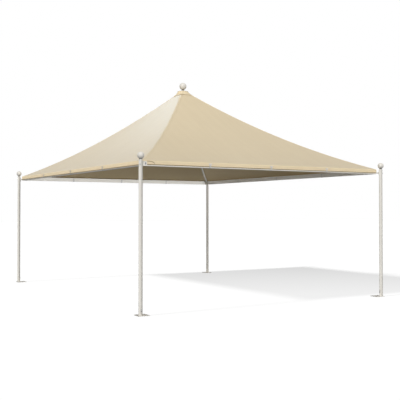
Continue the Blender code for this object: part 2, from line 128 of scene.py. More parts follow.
paper = bpy.data.materials.new("floor_paper")
paper.use_nodes = True
tree = paper.node_tree
tree.nodes.clear()
heading = math.radians(CAMERA_TURN[2])
depth = add_node(tree, "ShaderNodeVectorMath", {
    0: add_node(tree, "ShaderNodeTexCoord")["Object"],
    1: (-math.sin(heading), math.cos(heading), 0.0)}, operation="DOT_PRODUCT")["Value"]
# Painted shade: tone and camera-seen glow ramp with depth so the shadow fades towards the camera; other
# rays get the even glow that stands in for bounce light.
tone = ranged(depth, *PAPER_TONE_SHADOW_FADE, *PAPER_DEPTH)
shadow_fading_glow = ranged(depth, *PAPER_GLOW_SHADOW_FADE, *PAPER_DEPTH)
glow = ranged(add_node(tree, "ShaderNodeLightPath")["Is Camera Ray"], UNSEEN_BOUNCE_GLOW, shadow_fading_glow)
add_node(tree, "ShaderNodeOutputMaterial", {"Surface": add_node(tree, "ShaderNodeAddShader", {
    0: add_node(tree, "ShaderNodeBsdfDiffuse", {"Color": tone})[0],
    1: add_node(tree, "ShaderNodeEmission", {"Strength": glow})[0]})[0]})
floor_mesh.materials.append(paper)

sky = bpy.data.worlds.new("studio")
sky.use_nodes = True
tree = sky.node_tree
tree.nodes.clear()
add_node(tree, "ShaderNodeOutputWorld", {"Surface": add_node(tree, "ShaderNodeMixShader", {
    0: add_node(tree, "ShaderNodeLightPath")["Is Camera Ray"],
    1: add_node(tree, "ShaderNodeBackground", {"Color": SKY_COLOUR, "Strength": SKY_LIGHT})[0],
    2: add_node(tree, "ShaderNodeBackground", {"Color": (1.0, 1.0, 1.0, 1.0)})[0]})[0]})
scene.world = sky

lit = {name: bpy.data.collections.new("lit_" + name) for name in (
    "floor", "posts", "rear_post", "balls", "far_beams", "cloth", "all_the_rest")}
light_apart(floor, "floor")

add_sun("floor_lamp", (-1.47, -0.10, 1.0), 33.0, 5.0, "floor")
add_sun("front_fill", (-0.15, -0.97, 0.15), 2.28, 50.0, "all_the_rest")
add_sun("front_top_light", (0.0, -0.50, 0.86), 0.22, 60.0, "all_the_rest")
add_sun("back_softbox", (0.155, 0.81, 0.53), 0.102, 14.0, "all_the_rest", (0.50, 0.74, 1.0))
add_sun("left_fill", (-0.99, -0.10, 0.06), 2.30, 20.0, "cloth", (1.0, 0.97, 0.92))
add_sun("post_lamp", (-0.85, -0.50, 0.62), 2.40, 40.0, "posts")
add_sun("post_fill", (0.90, -0.42, 0.10), 0.40, 40.0, "posts")
add_sun("ball_lamp", (-0.48, -0.72, 0.50), 2.20, 70.0, "balls")
add_sun("rear_post_lamp", (-0.10, -0.99, 0.05), 0.72, 20.0, "rear_post", shaded_by="posts")
add_sun("far_beam_lamp", (-0.35, -0.94, 0.05), 2.08, 20.0, "far_beams", (0.945, 0.972, 1.0),
        shaded_by="posts")


# Base plates: flat steel squares, powder-coated off-white, with the post near the outer corner.
# Each is held down by three low dome-head anchor screws with washers, of plated steel.
CORNERS = {"front_left": np.array([-1, -1, 0]), "front_right": np.array([1, -1, 0]),
           "back_right": np.array([1, 1, 0]), "back_left": np.array([-1, 1, 0])}
POST_X = 2.40
POST_Y = 3.00
PLATE_TOP = 0.008
ANCHOR_NEAR = -0.017            # from the post's axis, inwards
ANCHOR_FAR = 0.107
ANCHOR_WASHER = (0.0125, 0.0020)    # radius, thickness
ANCHOR_HEAD = (0.0090, 0.0045)
COAT_COLOUR = (0.79, 0.764, 0.708, 1.0)
COAT_SHADE = (0.755, 0.729, 0.673, 1.0)
COAT_GLOSS = (0.46, 0.58)       # roughness, least and most
DUST_COLOUR = (0.52, 0.48, 0.41, 1.0)
DUST_HEIGHT = 0.22
DUST_MOST = 0.30
ZINC_COLOUR = (0.68, 0.68, 0.67, 1.0)


def start_material(name):
    """A new material, and the coordinates for its patterns."""
    material = bpy.data.materials.new(name)
    material.use_nodes = True
    return material, add_node(material.node_tree, "ShaderNodeTexCoord")


def noise(place, scale, **inputs):
    """A cloudy pattern from 0 to 1, with as many clouds a metre as its scale."""
    inputs.update({"Vector": place, "Scale": scale})
    return add_node(place.id_data, "ShaderNodeTexNoise", inputs)[0]


def combined(operation, first, second):
    """Two values added or multiplied."""
    return add_node(first.id_data, "ShaderNodeMath", {0: first, 1: second}, operation=operation)[0]


def mixed(share, first, second):
    """A colour that goes from the first to the second while the share goes from 0 to 1."""
    inputs = {0: share, 6: first, 7: second}
    return add_node(share.id_data, "ShaderNodeMix", inputs, data_type="RGBA")[2]


def darker(colour, share):
    """A colour brought down to a share of itself."""
    return tuple(share * channel for channel in colour[:3]) + (1.0,)


def finish_material(material, inputs, relief, strength, distance):
    """Give the shader its inputs and a bump."""
    bump = add_node(material.node_tree, "ShaderNodeBump", {
        "Height": relief, "Strength": strength, "Distance": distance})
    fill_in(material.node_tree.nodes["Principled BSDF"], {**inputs, "Normal": bump[0]})
    return material


def powder_coat(name, dusty_foot=False):
    """Powder-coated steel: a slow drift of tone, 2 mm orange peel, and dust low on the feet."""
    material, coords = start_material(name)
    place = coords["Object"]
    drift = noise(place, 2.5, Detail=5.0, Roughness=0.6)
    colour = mixed(ranged(drift, 0.0, 1.0, 0.35, 0.7), COAT_COLOUR, COAT_SHADE)
    if dusty_foot:
        height = add_node(place.id_data, "ShaderNodeSeparateXYZ", {0: place})["Z"]
        low = ranged(height, DUST_MOST, 0.0, 0.0, DUST_HEIGHT)
        speckle = noise(place, 38.0, Detail=6.0, Roughness=0.7)
        colour = mixed(combined("MULTIPLY", low, speckle), colour, DUST_COLOUR)
    peel = noise(place, 420.0)
    return finish_material(material, {
        "Base Color": colour, "Roughness": ranged(drift, *COAT_GLOSS)}, peel, 0.35, 0.0001)


def plated_steel(name, colour, roughness):
    """Zinc-plated steel: metallic, and mottled in tone, gloss and relief."""
    material, coords = start_material(name)
    mottle = noise(coords["Object"], 160.0, Detail=4.0)
    return finish_material(material, {
        "Metallic": 0.6, "Base Color": mixed(mottle, colour, darker(colour, 0.72)),
        "Roughness": ranged(mottle, roughness - 0.08, roughness + 0.12)},
        mottle, 0.3, 0.0002)


def wrapped_grid(rows, columns):
    """Four-sided faces between neighbours of a grid of points whose last column meets its first."""
    low = np.arange(rows - 1)[:, None] * columns
    here = np.arange(columns)
    there = np.roll(here, -1)
    corners = [low + here, low + there, low + columns + there, low + columns + here]
    return np.stack(corners, axis=-1).reshape(-1, 4)


def capped_grid(rows, columns):
    """A wrapped grid's faces, and a flat face over each end."""
    ring = np.arange(columns)
    return [wrapped_grid(rows, columns), ring[None, ::-1], (rows - 1) * columns + ring[None, :]]


def closed_grid(rows, columns):
    """A wrapped grid's faces where the last row meets the first as well."""
    return wrapped_grid(rows + 1, columns) % (rows * columns)


def round_outline(count):
    """A circle of radius one: the cosine and sine of evenly spaced angles."""
    angle = np.arange(count) * 2 * math.pi / count
    return np.stack([np.cos(angle), np.sin(angle)], axis=1)


def turned(profile, sides, hollow=False):
    """A surface of revolution about Z, from (radius, height) pairs given from the bottom up.

    Each pair becomes a ring, at radius times the round outline.  The end rings are closed, or joined
    to each other if the piece is hollow.
    """
    radius, height = np.array(profile, float).T[:, :, None]
    points = np.stack([*(radius * axis for axis in round_outline(sides).T),
                       np.repeat(height, sides, axis=1)], axis=-1)
    faces = [closed_grid(len(radius), sides)] if hollow else capped_grid(len(radius), sides)
    return points.reshape(-1, 3), faces


def unit(vectors):
    """Vectors brought to a length of one."""
    return vectors / np.linalg.norm(vectors, axis=-1, keepdims=True)


def stood(part, spot, axis=(0, 0, 1), lift=0.0):
    """A part lifted along its own Z, turned so that its Z lies along the axis, and moved to the spot."""
    up = unit(np.array(axis, float))
    side = unit(np.cross(up, (0, 0, 1) if abs(up[2]) < 0.9 else (1, 0, 0)))
    turn = np.stack([side, np.cross(up, side), up])
    return (part[0] + (0.0, 0.0, lift)) @ turn + np.array(spot), part[1]


def set_in_frame(name, mesh, smooth_angle):
    """A mesh as a piece on the frame, shaded smooth but for edges sharper than the angle."""
    mesh.shade_smooth()
    mesh.set_sharp_from_angle(angle=math.radians(smooth_angle))
    piece = bpy.data.objects.new(name, mesh)
    scene.collection.objects.link(piece)
    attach(piece, "root")
    return piece


def add_piece(name, parts, smooth_angle=35.0, corner_uv=None):
    """One mesh piece from parts, each ((points, face arrays), material).  The corner UV is a pair
    for each corner of each face, in the faces' order."""
    materials, points, faces, finish = [], [], [], []
    count = 0
    for (part_points, part_faces), material in parts:
        if material not in materials:
            materials.append(material)
        for block in part_faces:
            faces += (block + count).tolist()
            finish += [materials.index(material)] * len(block)
        points.append(part_points)
        count += len(part_points)
    mesh = bpy.data.meshes.new(name)
    mesh.from_pydata(np.concatenate(points).tolist(), [], faces)
    for material in materials:
        mesh.materials.append(material)
    mesh.polygons.foreach_set("material_index", finish)
    if corner_uv is not None:
        layer = mesh.uv_layers.new(name="cloth")
        layer.data.foreach_set("uv", corner_uv.astype(np.float32).ravel())
    mesh.validate()
    return set_in_frame(name, mesh, smooth_angle)


def washer(radius, thick):
    """A flat washer with a broken edge, as a solid disc that its bolt stands on."""
    return turned([(radius - 0.0004, 0.0), (radius, 0.0004), (radius, thick - 0.0005),
                   (radius - 0.0005, thick)], 28)


def hex_nut(across_flats, thick):
    """A hexagon with its corners turned off at both ends."""
    corner = across_flats / math.sqrt(3)
    return turned([(corner - 0.0010, 0.0), (corner, 0.0008), (corner, thick - 0.0010),
                   (corner - 0.0014, thick)], 6)


def thread(radius, start, end, pitch=0.0015):
    """The end of a screw: ridges as deep as a third of their pitch, and a broken edge."""
    ridges = int((end - start) / pitch) * 2
    height = np.linspace(start, end - 0.001, ridges + 1)
    rise = radius - 0.33 * pitch * (np.arange(ridges + 1) % 2)
    return turned([*zip(rise, height), (radius - 0.0012, end)], 16)


def button_screw(radius, thick):
    """A domed head with a hexagon socket, its rim one third of its height."""
    return turned([(radius, 0.0), (radius, thick * 0.33), (radius * 0.86, thick * 0.72),
                   (radius * 0.62, thick * 0.94), (radius * 0.40, thick), (radius * 0.36, thick * 0.55)],
                  24)


def at_corner(sign, x, y, height):
    """A point at one of the corners, so far out from the middle and so high."""
    return sign * (x, y, 0.0) + (0.0, 0.0, height)


coat = powder_coat("powder_coat")
foot_coat = powder_coat("powder_coat_foot", dusty_foot=True)
zinc = plated_steel("zinc_plate", ZINC_COLOUR, 0.42)

for corner, sign in CORNERS.items():
    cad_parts["base_plate_" + corner].material_slots[0].material = foot_coat
    anchors = []
    for in_x, in_y in ((ANCHOR_FAR, ANCHOR_NEAR), (ANCHOR_NEAR, ANCHOR_FAR), (ANCHOR_FAR, ANCHOR_FAR)):
        spot = at_corner(sign, POST_X - in_x, POST_Y - in_y, PLATE_TOP)
        anchors.append((stood(washer(*ANCHOR_WASHER), spot), zinc))
        anchors.append((stood(button_screw(*ANCHOR_HEAD), spot, lift=ANCHOR_WASHER[1]), zinc))
    add_piece("anchors_" + corner, anchors)


# Posts: 60 mm round steel tube, powder-coated, welded to the base plate all round.  A bolt low on
# each, on an oblong plate, holds its levelling insert, and two at the top hold the ball's spigot
# and the corner piece.
POST_RADIUS = 0.030
POST_WALL = 0.0025
POST_BOTTOM = 0.0083
POST_TOP = 2.280
POST_EDGE = 0.0006
FOOT_WELD = 0.0032              # the bead's own radius
FOOT_WELD_OUT = 0.0012          # from the tube's face to the bead's middle
FOOT_WELD_UP = 0.0022
LOW_BOLT_SPOT = (0.085, 0.0012)      # height, and depth in the post's face
LOW_BOLT_SIDE = {"front_left": (0, -1, 0), "front_right": (-1, 0, 0),
                 "back_right": (0, 1, 0), "back_left": (1, 0, 0)}
LOW_BOLT_PLATE = (0.044, 0.018, 0.0026)     # length, width, thickness
LOW_BOLT_NUT = (0.013, 0.0055)      # across its flats, thickness
SPIGOT_SCREW_SPOT = (2.264, 0.0004)
SPIGOT_SCREW = (0.0052, 0.0030)
BRACKET_BOLT_SPOT = (2.215, 0.0006)
BRACKET_WASHER = (0.0095, 0.0020)
BRACKET_NUT = (0.015, 0.0075)
BRACKET_THREAD = (0.0045, 0.0090, 0.0135)   # radius, start, end


def rings(centre, radius, first, second, sides):
    """A ring round each centre: radius times the round outline, along two directions."""
    outline = round_outline(sides)
    ring = outline[:, :1] * first[:, None, :] + outline[:, 1:] * second[:, None, :]
    return (centre[:, None, :] + radius[:, None, None] * ring).reshape(-1, 3)


def weld_bead(path, plane_normal, thick, ripple=0.004):
    """A closed weld around a flat path: a tube whose radius swells once every ripple's length.

    Each ring lies square to the path, at thick times the cosine away from the path's middle and the
    sine along the plane's normal.
    """
    ahead = unit(np.roll(path, -1, axis=0) - np.roll(path, 1, axis=0))
    normal = unit(np.array([plane_normal], float))
    steps = np.linalg.norm(np.roll(path, -1, axis=0) - path, axis=1)
    along = np.cumsum(steps) - steps
    waves = max(1, round(steps.sum() / ripple))
    radius = thick * (1.0 + 0.10 * np.cos(along / steps.sum() * waves * 2 * math.pi))
    points = rings(path, radius, np.cross(ahead, normal), normal, 8)
    return points, [closed_grid(len(path), 8)[:, ::-1]]


def circle(radius, height, middle, count):
    """Points of a level circle."""
    return np.column_stack([middle[:2] + radius * round_outline(count), np.full(count, height)])


def oblong(length, width, thick, count=12):
    """A flat plate with round ends and broken edges: two half circles joined by straight sides."""
    angle = np.linspace(0, math.pi, count)
    far = np.stack([np.cos(angle), np.sin(angle)], axis=1) * width / 2
    half_straight = (0.0, (length - width) / 2)
    outline = np.concatenate([far + half_straight, -far - half_straight])
    inset = outline * (1.0 - 0.0012 / width)
    layers = [(inset, 0.0), (outline, 0.0006), (outline, thick - 0.0006), (inset, thick)]
    points = [np.column_stack([plan, np.full(len(plan), level)]) for plan, level in layers]
    return np.concatenate(points), capped_grid(len(layers), 2 * count)


def on_post(axis, direction, height, sunk):
    """Where a fixing stands on a post: on its face, sunk a little into it."""
    return axis + (0.0, 0.0, height) + direction * (POST_RADIUS - sunk)


for corner, sign in CORNERS.items():
    axis = at_corner(sign, POST_X, POST_Y, 0.0)
    tube = turned([(POST_RADIUS, POST_BOTTOM), (POST_RADIUS, POST_TOP - POST_EDGE),
                   (POST_RADIUS - POST_EDGE, POST_TOP), (POST_RADIUS - POST_WALL, POST_TOP),
                   (POST_RADIUS - POST_WALL, POST_BOTTOM)], 64, hollow=True)
    post = add_piece("post_tube_" + corner, [(stood(tube, axis), foot_coat)])
    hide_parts("post_" + corner)
    light_apart(post, "posts")
    if corner == "back_right":
        lit["rear_post"].objects.link(post)

    foot_line = circle(POST_RADIUS + FOOT_WELD_OUT, PLATE_TOP + FOOT_WELD_UP, axis, 144)
    low_side = np.array(LOW_BOLT_SIDE[corner], float)
    low_spot = on_post(axis, low_side, *LOW_BOLT_SPOT)
    outward = sign / math.sqrt(2)
    screw_spot = on_post(axis, outward, *SPIGOT_SCREW_SPOT)
    bolt_spot = on_post(axis, outward, *BRACKET_BOLT_SPOT)
    add_piece("post_fixings_" + corner, [
        (weld_bead(foot_line, (0, 0, 1), FOOT_WELD), foot_coat),
        (stood(oblong(*LOW_BOLT_PLATE), low_spot, low_side), zinc),
        (stood(hex_nut(*LOW_BOLT_NUT), low_spot, low_side, LOW_BOLT_PLATE[2]), zinc),
        (stood(button_screw(*SPIGOT_SCREW), screw_spot, outward), zinc),
        (stood(washer(*BRACKET_WASHER), bolt_spot, outward), zinc),
        (stood(hex_nut(*BRACKET_NUT), bolt_spot, outward, BRACKET_WASHER[1]), zinc),
        (stood(thread(*BRACKET_THREAD), bolt_spot, outward), zinc)])


# Post balls: hollow steel balls on a short neck, powder-coated with the posts.  A collar sits on
# the tube's end, a spigot goes down inside it, and a black rubber ring seals the neck under the
# ball; its darkness also paints the shade under the ball.
POST_BALL = (0.0525, 2.35)      # radius, height of its middle
POST_SEAL = (0.0225, 0.0040)    # radius from the axis, and of the rubber itself
COLLAR_GAP = 0.0003
POST_COLLAR = [(0.0280, 0.0), (0.0296, 0.0), (0.0300, 0.0004), (0.0300, 0.0030), (0.0293, 0.0038),
               (0.0232, 0.0043), (0.0205, 0.0050), (0.0194, 0.0064), (0.0190, 0.0085)]
POST_NECK_END = [(0.0190, -0.0030), (0.0193, -0.0013)]      # heights from where the ball starts
NECK_FLARE = 0.0015
RUBBER_SHADE_COLOUR = (0.050, 0.050, 0.048, 1.0)


def ball_on_neck(collar, base, neck_end, radius, middle, sides, arcs=44):
    """A ball turned in one with its neck and its collar, which stands on the base.

    The ball starts where it is as wide as the neck and its flare, and goes up to its top at radius
    times the sine of an angle, and middle plus radius times its cosine.
    """
    start = math.pi - math.asin((neck_end[0][0] + NECK_FLARE) / radius)
    angle = np.linspace(start, 0.012, arcs)
    ball = np.stack([radius * np.sin(angle), middle + radius * np.cos(angle)], axis=1)
    neck_top = (0.0, ball[0, 1])
    return turned(np.concatenate([np.add(collar, (0.0, base)), np.add(neck_end, neck_top), ball]), sides)


def even_ring(path, plane_normal, thick):
    """A closed ring along a path, which swells only once on its way round."""
    return weld_bead(path, plane_normal, thick, ripple=math.inf)


def seal_and_shade_ring(ball_radius, ball_height, ring_radius, thick, spot):
    """A round ring that touches the ball from below, a ring radius from its axis; in dark rubber it also
    paints the shade under the ball.
    """
    touch = ball_height - math.sqrt((ball_radius + thick) ** 2 - ring_radius ** 2)
    return even_ring(circle(ring_radius, touch, spot, 48), (0, 0, 1), thick)


# Moulded rubber: nearly black, matt, with a fine grain; on the rings under the balls its darkness also
# paints the shade there
rubber, coords = start_material("rubber")
grain = noise(coords["Object"], 900.0)
finish_material(rubber, {"Base Color": RUBBER_SHADE_COLOUR, "Roughness": ranged(grain, 0.55, 0.75)},
                grain, 0.3, 0.0002)

for corner, sign in CORNERS.items():
    spot = at_corner(sign, POST_X, POST_Y, 0.0)
    ball = ball_on_neck(POST_COLLAR, POST_TOP + COLLAR_GAP, POST_NECK_END, *POST_BALL, 72)
    piece = add_piece("post_finial_" + corner, [
        (stood(ball, spot), coat), (seal_and_shade_ring(*POST_BALL, *POST_SEAL, spot), rubber)])
    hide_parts("post_ball_" + corner)
    light_apart(piece, "balls")


# Corner pieces: a solid welded corner of the eave frame with plugs into both beams, hung from the
# post by a round arm and a saddle plate.  The sheet leaves two of them bare at their front or back
# face, where a dark eye bolt goes in.
FRAME_X = 2.35
FRAME_Y = 2.95
ARM_HEIGHT = 2.221
ARM_LINE_RADIUS = 0.0108        # of the welds' middles round the 20 mm arm
ARM_WELDS = (0.0363, 0.0838)    # from the post's axis: at the saddle plate and at the corner piece
ARM_WELD = 0.0022
BARE_CORNERS = ("front_left", "back_right")
EYE_FROM_CORNER = 0.055
EYE_HEIGHT = 2.236
EYE_PLATE = (0.034, 0.017, 0.003)
EYE_NUT = (0.013, 0.0060)
DARK_STEEL_COLOUR = (0.30, 0.32, 0.35, 1.0)

dark_steel = plated_steel("dark_steel", DARK_STEEL_COLOUR, 0.45)

for corner, sign in CORNERS.items():
    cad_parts["corner_bracket_" + corner].material_slots[0].material = coat
    inward = -sign / math.sqrt(2)
    post_spot = at_corner(sign, POST_X, POST_Y, ARM_HEIGHT)
    arm_line = (circle(ARM_LINE_RADIUS, 0.0, (0, 0), 48), [])
    fixings = []
    for distance in ARM_WELDS:
        weld_line = stood(arm_line, post_spot + inward * distance, inward)[0]
        fixings.append((weld_bead(weld_line, inward, ARM_WELD, ripple=0.003), coat))
    if corner in BARE_CORNERS:
        face_out = sign * (0, 1, 0)
        spot = at_corner(sign, FRAME_X - EYE_FROM_CORNER, FRAME_Y, EYE_HEIGHT)
        fixings.append((stood(oblong(*EYE_PLATE), spot, face_out), dark_steel))
        fixings.append((stood(hex_nut(*EYE_NUT), spot, face_out, EYE_PLATE[2]), dark_steel))
    add_piece("corner_fixings_" + corner, fixings)


# Eave beams: box-section steel tubes, 80 by 40 mm, powder-coated.  Each is pushed over the plugs
# of two corner pieces and held on its inner side by two button-head screws an end.
BEAM_BOTTOM = 2.20
BEAM_WIDTH = 0.04
BEAM_SCREW = (0.0070, 0.0042)
SCREWS_FROM_CORNER = (0.118, 0.142)
SCREW_HEIGHT = 2.240

for side in ("front", "right", "back", "left"):
    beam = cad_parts["eave_beam_" + side]
    beam.material_slots[0].material = coat
    if side in ("right", "back"):
        lit["far_beams"].objects.link(beam)

screws = []
for sign in CORNERS.values():
    for distance in SCREWS_FROM_CORNER:
        on_long = at_corner(sign, FRAME_X - BEAM_WIDTH, FRAME_Y - distance, SCREW_HEIGHT)
        on_short = at_corner(sign, FRAME_X - distance, FRAME_Y - BEAM_WIDTH, SCREW_HEIGHT)
        for spot, inward in ((on_long, sign * (-1, 0, 0)), (on_short, sign * (0, -1, 0))):
            screws.append((stood(button_screw(*BEAM_SCREW), spot, inward), zinc))
add_piece("beam_screws", screws)


# Hip tubes: four curved 38 mm steel tubes that carry the sheet, powder-coated.  Each is welded to
# its corner piece's web at the bottom and to the hub at the top.
SHEET_X = 2.3533                # the sheet's corner, which the hips run down to
SHEET_Y = 2.9533
HUB_RADIUS = 0.055
HIP_WELD = 0.0030


def smoothed_copy(node, name, material):
    """The frame's own piece with its faces joined and its round sides shaded smooth."""
    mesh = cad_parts[node].data.copy()
    mesh.name = name
    loose = bmesh.new()
    loose.from_mesh(mesh)
    bmesh.ops.remove_doubles(loose, verts=loose.verts, dist=0.00002)
    loose.to_mesh(mesh)
    loose.free()
    for attribute in ("custom_normal", "sharp_face", "sharp_edge"):
        if attribute in mesh.attributes:
            mesh.attributes.remove(mesh.attributes[attribute])
    mesh.materials.clear()
    mesh.materials.append(material)
    piece = set_in_frame(name, mesh, 40.0)
    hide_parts(node)
    return piece


def read_off(where, known, values):
    """Rows of values at some places, straight between those where they are known."""
    return np.stack([np.interp(where, known, column) for column in values.T], axis=1)


def end_ring(points, distance, plan_normal, count=72):
    """An even ring through a tube's cut end: its points near that plane, in order of angle."""
    rim = points[np.abs(points @ plan_normal - distance) < 0.0004]
    middle = rim.mean(axis=0)
    level = np.array([-plan_normal[1], plan_normal[0], 0.0])
    turn = np.arctan2(rim[:, 2] - middle[2], (rim - middle) @ level)
    order = np.argsort(turn)
    rim, turn = rim[order], turn[order]
    turn = np.concatenate([turn - 2 * math.pi, turn, turn + 2 * math.pi])
    even = np.linspace(-math.pi, math.pi, count, endpoint=False)
    return read_off(even, turn, np.concatenate([rim, rim, rim]))


for corner, sign in CORNERS.items():
    tube = smoothed_copy("hip_rafter_" + corner, "hip_tube_" + corner, coat)
    if corner == "back_right":
        lit["far_beams"].objects.link(tube)
    points = np.zeros(len(tube.data.vertices) * 3, np.float32)
    tube.data.vertices.foreach_get("co", points)
    points = points.reshape(-1, 3).astype(float)
    outward = unit(sign * (SHEET_X, SHEET_Y, 0.0))
    top = end_ring(points, (points @ outward).min(), outward)
    aside = top @ np.cross(outward, (0, 0, 1))
    top += (np.sqrt(HUB_RADIUS ** 2 - aside ** 2) - HUB_RADIUS)[:, None] * outward
    add_piece("hip_welds_" + corner, [(weld_bead(top, outward, HIP_WELD), coat)])


# Hub: a turned steel barrel under the peak that the four hip tubes are welded to, with a disc on
# top that spreads the cap.  The peak ball's stem goes down through it to a nut below.
HUB_BOTTOM = 3.775
HUB_ROUND = 0.008               # of its lower edge
HUB_DISC_TOP = 3.9147
HUB_DISC = [(0.0550, -0.0085), (0.0562, -0.0068), (0.0580, -0.0060), (0.0880, -0.0060),
            (0.0894, -0.0054), (0.0900, -0.0040), (0.0900, -0.0020), (0.0894, -0.0006),
            (0.0880, 0.0), (0.0001, 0.0)]       # radius, and height from the disc's top
HUB_WASHER = (0.0185, 0.0030)
HUB_NUT = (0.024, 0.0130)
HUB_THREAD = (0.0080, 0.015, 0.0230, 0.002)     # radius, start, end, pitch

curve = np.linspace(0.0, math.pi / 2, 6)
hub_edge = np.stack([HUB_RADIUS - HUB_ROUND + HUB_ROUND * np.sin(curve),
                     HUB_BOTTOM + HUB_ROUND - HUB_ROUND * np.cos(curve)], axis=1)
hub_profile = [(0.0001, HUB_BOTTOM), (HUB_RADIUS - 0.0085, HUB_BOTTOM), *hub_edge,
               *np.add(HUB_DISC, (0.0, HUB_DISC_TOP))]
hub = add_piece("hub", [(turned(hub_profile, 72), coat)])
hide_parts("crown_hub")

hub_foot = (0, 0, HUB_BOTTOM)
below = (0, 0, -1)
add_piece("hub_nut", [(stood(washer(*HUB_WASHER), hub_foot, below), zinc),
                      (stood(hex_nut(*HUB_NUT), hub_foot, below, HUB_WASHER[1]), zinc),
                      (stood(thread(*HUB_THREAD), hub_foot, below), zinc)])


# Roof sheet: beige coated polyester cloth, sewn from four panels that overlap at the hips, then
# tensioned over the hip tubes and turned down over the beams.  At the left end of each short side,
# seen from outside, its skirt stops short of the corner.
EAVE_HEIGHT = 2.284
ROOF_RISE = 1.066
ROOF_CURVE = 0.601
ROOF_BOW = 0.015
CLOTH_THICKNESS = 0.0012
SKIRT_BOTTOM = 2.233
SKIRT_CUT_BACK = 0.080
SKIRT_STUB = 0.0015             # what the cut leaves of it below the fold
FOLD_RADIUS = 0.016
RIDGE_RADIUS = 0.018
SEAM_HALF_WIDTH = 0.0245
SEAM_STEP = 0.0008
EDGE_BAND = 0.060
CLOTH_COLOUR = (0.757, 0.637, 0.430, 1.0)
CLOTH_SHADE = (0.725, 0.606, 0.404, 1.0)
# Painted shade: the inside colours are a deeper, more saturated copy of the cloth's, for the sheet's
# shaded underside.
INSIDE_SHADED_COLOUR = (0.740, 0.575, 0.315, 1.0)
INSIDE_SHADED_TONE = (0.710, 0.548, 0.295, 1.0)
OUTSIDE_GLOSS = (0.26, 0.33)    # roughness, least and most
INSIDE_GLOSS = (0.48, 0.58)
WEAVE_PITCH = 0.0011
BAND_PITCH = 0.314              # of even bands at a scale of one
SIDES = {"front": 0.0, "right": math.pi / 2, "back": math.pi, "left": 3 * math.pi / 2}

ROOF_U = np.concatenate([[0.008, 0.016], np.linspace(0.03, 0.93, 31), [0.9643]])
SKIRT_SHARES = np.array([1.0, 0.97, 0.78, 0.55, 0.30, 0.10])
ARC = np.radians([15.0, 30.0, 45.0, 60.0, 75.0])
ARC_STEP = 0.0047               # along the arc, from one of its columns to the next


def roof_height(u):
    """The rise times u, plus the curve times u squared, where u is 0 at the eave and 1 at the top."""
    return EAVE_HEIGHT + ROOF_RISE * u + ROOF_CURVE * u * u


def half_sizes(side, half_x=SHEET_X, half_y=SHEET_Y):
    """Half a side's length, and how far out it is from the middle."""
    return (half_x, half_y) if side in ("front", "back") else (half_y, half_x)


def to_plan(along, out, turn):
    """From a side's own distances, along its eave and out from the middle, to X and Y."""
    return along * math.cos(turn) + out * math.sin(turn), along * math.sin(turn) - out * math.cos(turn)


def bands(place, scale, direction, **inputs):
    """Even bands square to a direction, from 0 to 1."""
    inputs.update({"Vector": place, "Scale": scale})
    return add_node(place.id_data, "ShaderNodeTexWave", inputs, bands_direction=direction)["Fac"]


def roof_cloth(name, colour, shade, gloss_range):
    """Coated cloth: a plain weave on its UV map in metres, faint streaks down the slope, a satin
    gloss that varies over a hand's width, and a slow drift of tone."""
    material, coords = start_material(name)
    place, uv = coords["Object"], coords["UV"]
    drift = noise(place, 0.9, Detail=6.0, Roughness=0.55)
    stretched = add_node(uv.id_data, "ShaderNodeMapping", {"Vector": uv, "Scale": (9.0, 0.7, 1.0)})[0]
    streaks = noise(stretched, 1.0, Detail=4.0)
    tone = ranged(combined("ADD", drift, streaks), 0.0, 1.0, 0.75, 1.3)
    gloss = ranged(noise(place, 7.0, Detail=3.0), *gloss_range)
    yarns = [bands(uv, BAND_PITCH / WEAVE_PITCH, direction, Distortion=0.6, Detail=1.0)
             for direction in ("X", "Y")]
    return finish_material(material, {
        "IOR": 1.46, "Sheen Weight": 0.04, "Sheen Roughness": 0.4,
        "Base Color": mixed(tone, colour, shade), "Roughness": gloss},
        combined("MULTIPLY", *yarns), 0.5, 0.00008)


def side_columns(half_eave):
    """Where a side's columns of points stand: the distances from the hip that stay the same up the
    roof, and the shares of the width between them, which narrows."""
    steady = np.array([RIDGE_RADIUS, SEAM_HALF_WIDTH, SEAM_HALF_WIDTH + 0.0015, EDGE_BAND])
    eave = np.array([SKIRT_CUT_BACK - 0.0004, SKIRT_CUT_BACK + 0.0004, 0.105, 0.13, 0.16, 0.21])
    ends = (half_eave - eave) / (half_eave - EDGE_BAND)
    middle = np.linspace(-ends[-1], ends[-1], 31)[1:-1]
    return steady, np.concatenate([-ends, middle, ends[::-1]])


def fold_rows(slope):
    """Insets and heights of the eave's fold, an arc from the upright skirt to the roof's slope."""
    lean = math.atan(slope)
    turn = np.linspace(math.pi / 2, lean, 6)
    middle = EAVE_HEIGHT + FOLD_RADIUS * (slope * (1.0 - math.sin(lean)) - math.cos(lean))
    return FOLD_RADIUS * (1.0 - np.sin(turn)), middle + FOLD_RADIUS * np.cos(turn)


